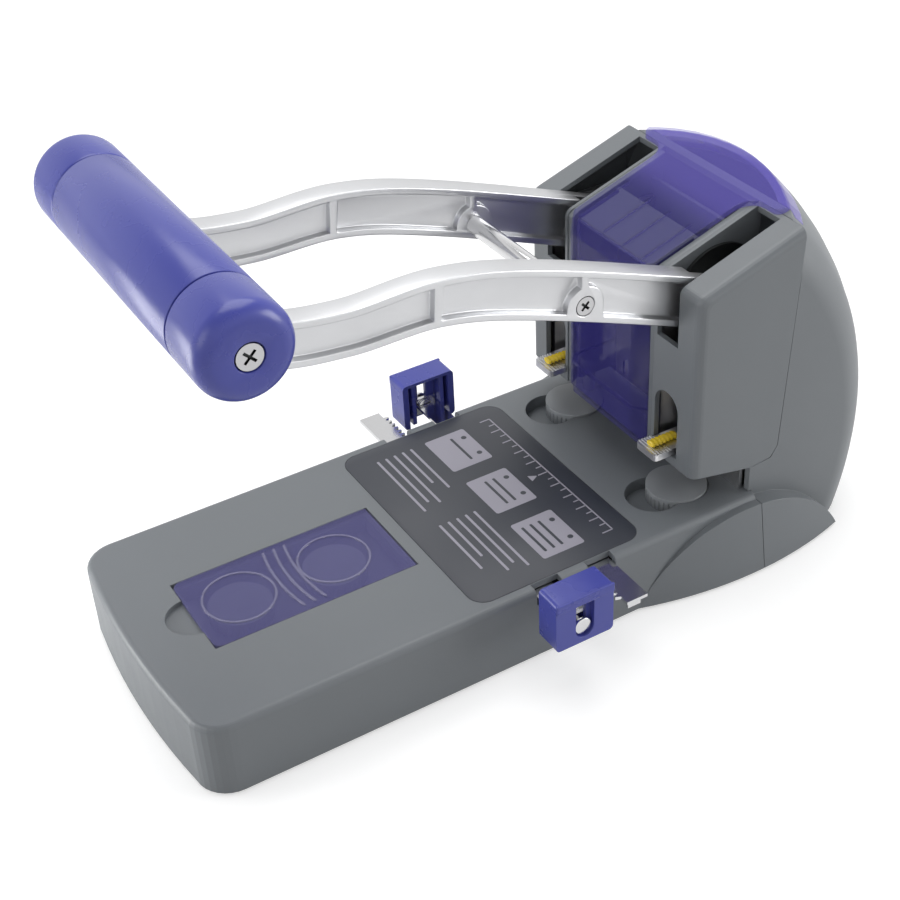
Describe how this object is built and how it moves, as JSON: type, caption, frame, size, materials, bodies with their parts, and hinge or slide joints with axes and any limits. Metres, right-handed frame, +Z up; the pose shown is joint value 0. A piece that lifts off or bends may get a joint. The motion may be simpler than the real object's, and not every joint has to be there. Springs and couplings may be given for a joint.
{
  "type": "two-hole punch",
  "caption": "Heavy-duty desk punch with a long padded lever, cam-driven cutting pins over turnable discs, sliding paper stops and a storage lid in the base.",
  "frame": {"origin": "middle of the footprint on the desk, at the underside of the rubber feet", "axes": "+Z up, -Y towards the handle, +X to the right seen from the handle"},
  "size_m": [0.182, 0.3548, 0.2204],
  "materials": {
    "grey_plastic": "satin moulded",
    "disc_plastic": "satin moulded",
    "blue_plastic": "semi-gloss moulded",
    "violet_clear": "clear tinted",
    "chrome": "bright plated",
    "steel": "ground",
    "cast_alloy": "satin cast",
    "label_film": "printed film",
    "rubber": "matt",
    "dark_plastic": "moulded",
    "dark_metal": "phosphated",
    "bush_brass": "turned",
    "yellow_plastic": "moulded"
  },
  "bodies": {
    "chassis": {"base_shell": "grey_plastic", "base_plate": "steel", "rubber_feet": "rubber", "base_screws": "steel", "label_plate": "label_film", "spare_discs": "disc_plastic", "rack_tray": "dark_plastic", "tray_screws": "steel", "pinion_pin": "steel", "head_shell": "grey_plastic", "back_cover": "grey_plastic", "rear_strip": "violet_clear", "centre_cover": "violet_clear", "cover_foot": "violet_clear", "frame_left": "steel", "frame_right": "steel", "back_stop": "steel", "pin_bushes": "bush_brass", "return_spring_left": "steel", "return_spring_right": "steel", "friction_discs": "dark_metal"},
    "lever": {"lever_arm_left": "cast_alloy", "lever_arm_right": "cast_alloy", "cam_left": "steel", "cam_right": "steel", "pivot_shaft": "steel", "pivot_spacers": "steel", "tie_rod": "chrome", "tie_rod_screws": "steel", "handle_core": "steel", "handle_tube": "blue_plastic", "handle_cap_left": "blue_plastic", "handle_cap_right": "blue_plastic", "handle_screws": "steel"},
    "punch_left": {"pin_left": "steel", "punch_holder_left": "chrome"},
    "punch_right": {"pin_right": "steel", "punch_holder_right": "chrome"},
    "disc_left": {"cutting_disc_left": "disc_plastic"},
    "disc_right": {"cutting_disc_right": "disc_plastic"},
    "lid": {"storage_lid": "violet_clear"},
    "guide_front": {"rack_front": "chrome", "stop_rivet_right": "chrome"},
    "guide_rear": {"rack_rear": "chrome", "stop_rivet_left": "chrome"},
    "guide_pinion": {"rack_pinion": "steel"},
    "stop_right": {"paper_stop_right": "blue_plastic"},
    "stop_left": {"paper_stop_left": "blue_plastic"},
    "tab_left": {"release_tab_left": "chrome", "lock_nub_left": "yellow_plastic"},
    "tab_right": {"release_tab_right": "chrome", "lock_nub_right": "yellow_plastic"}
  },
  "joints": [
    {"name": "lever_hinge", "type": "hinge", "parent": "chassis", "child": "lever", "pos_m": [0, 0.0901, 0.127], "axis": [1, 0, 0], "range_deg": [-75, 16]},
    {"name": "punch_left_slide", "type": "slide", "parent": "chassis", "child": "punch_left", "axis": [0, 0, -1], "range_m": [-0.0165, 0.0036], "deforming": ["return_spring_left"]},
    {"name": "punch_right_slide", "type": "slide", "parent": "chassis", "child": "punch_right", "axis": [0, 0, -1], "range_m": [-0.0165, 0.0036], "deforming": ["return_spring_right"]},
    {"name": "disc_left_turn", "type": "hinge", "parent": "chassis", "child": "disc_left", "pos_m": [-0.04, 0.0691, 0.034], "axis": [0, 0, 1], "continuous": true},
    {"name": "disc_right_turn", "type": "hinge", "parent": "chassis", "child": "disc_right", "pos_m": [0.04, 0.0691, 0.034], "axis": [0, 0, 1], "continuous": true},
    {"name": "lid_hinge", "type": "hinge", "parent": "chassis", "child": "lid", "pos_m": [0, -0.0554, 0.036], "axis": [-1, 0, 0], "range_deg": [0, 95]},
    {"name": "guide_front_slide", "type": "slide", "parent": "chassis", "child": "guide_front", "axis": [1, 0, 0], "range_m": [-0.01, 0.0695]},
    {"name": "guide_rear_slide", "type": "slide", "parent": "chassis", "child": "guide_rear", "axis": [-1, 0, 0], "range_m": [-0.01, 0.0695]},
    {"name": "guide_pinion_turn", "type": "hinge", "parent": "chassis", "child": "guide_pinion", "pos_m": [0, -0.0024, 0.03275], "axis": [0, 0, 1], "range_deg": [-72, 498]},
    {"name": "stop_right_drop", "type": "slide", "parent": "guide_front", "child": "stop_right", "axis": [0, 0, -1], "range_m": [0, 0.012]},
    {"name": "stop_left_drop", "type": "slide", "parent": "guide_rear", "child": "stop_left", "axis": [0, 0, -1], "range_m": [0, 0.012]},
    {"name": "tab_left_pull", "type": "slide", "parent": "chassis", "child": "tab_left", "axis": [0, -1, 0], "range_m": [0, 0.006]},
    {"name": "tab_right_pull", "type": "slide", "parent": "chassis", "child": "tab_right", "axis": [0, -1, 0], "range_m": [0, 0.006]}
  ],
  "couplings": [
    {"joint": "punch_left_slide", "follows": "lever_hinge", "m_per_rad": 0.0125},
    {"joint": "punch_right_slide", "follows": "lever_hinge", "m_per_rad": 0.0125},
    {"joint": "guide_rear_slide", "follows": "guide_front_slide", "ratio": 1},
    {"joint": "guide_pinion_turn", "follows": "guide_front_slide", "rad_per_m": 125}
  ]
}
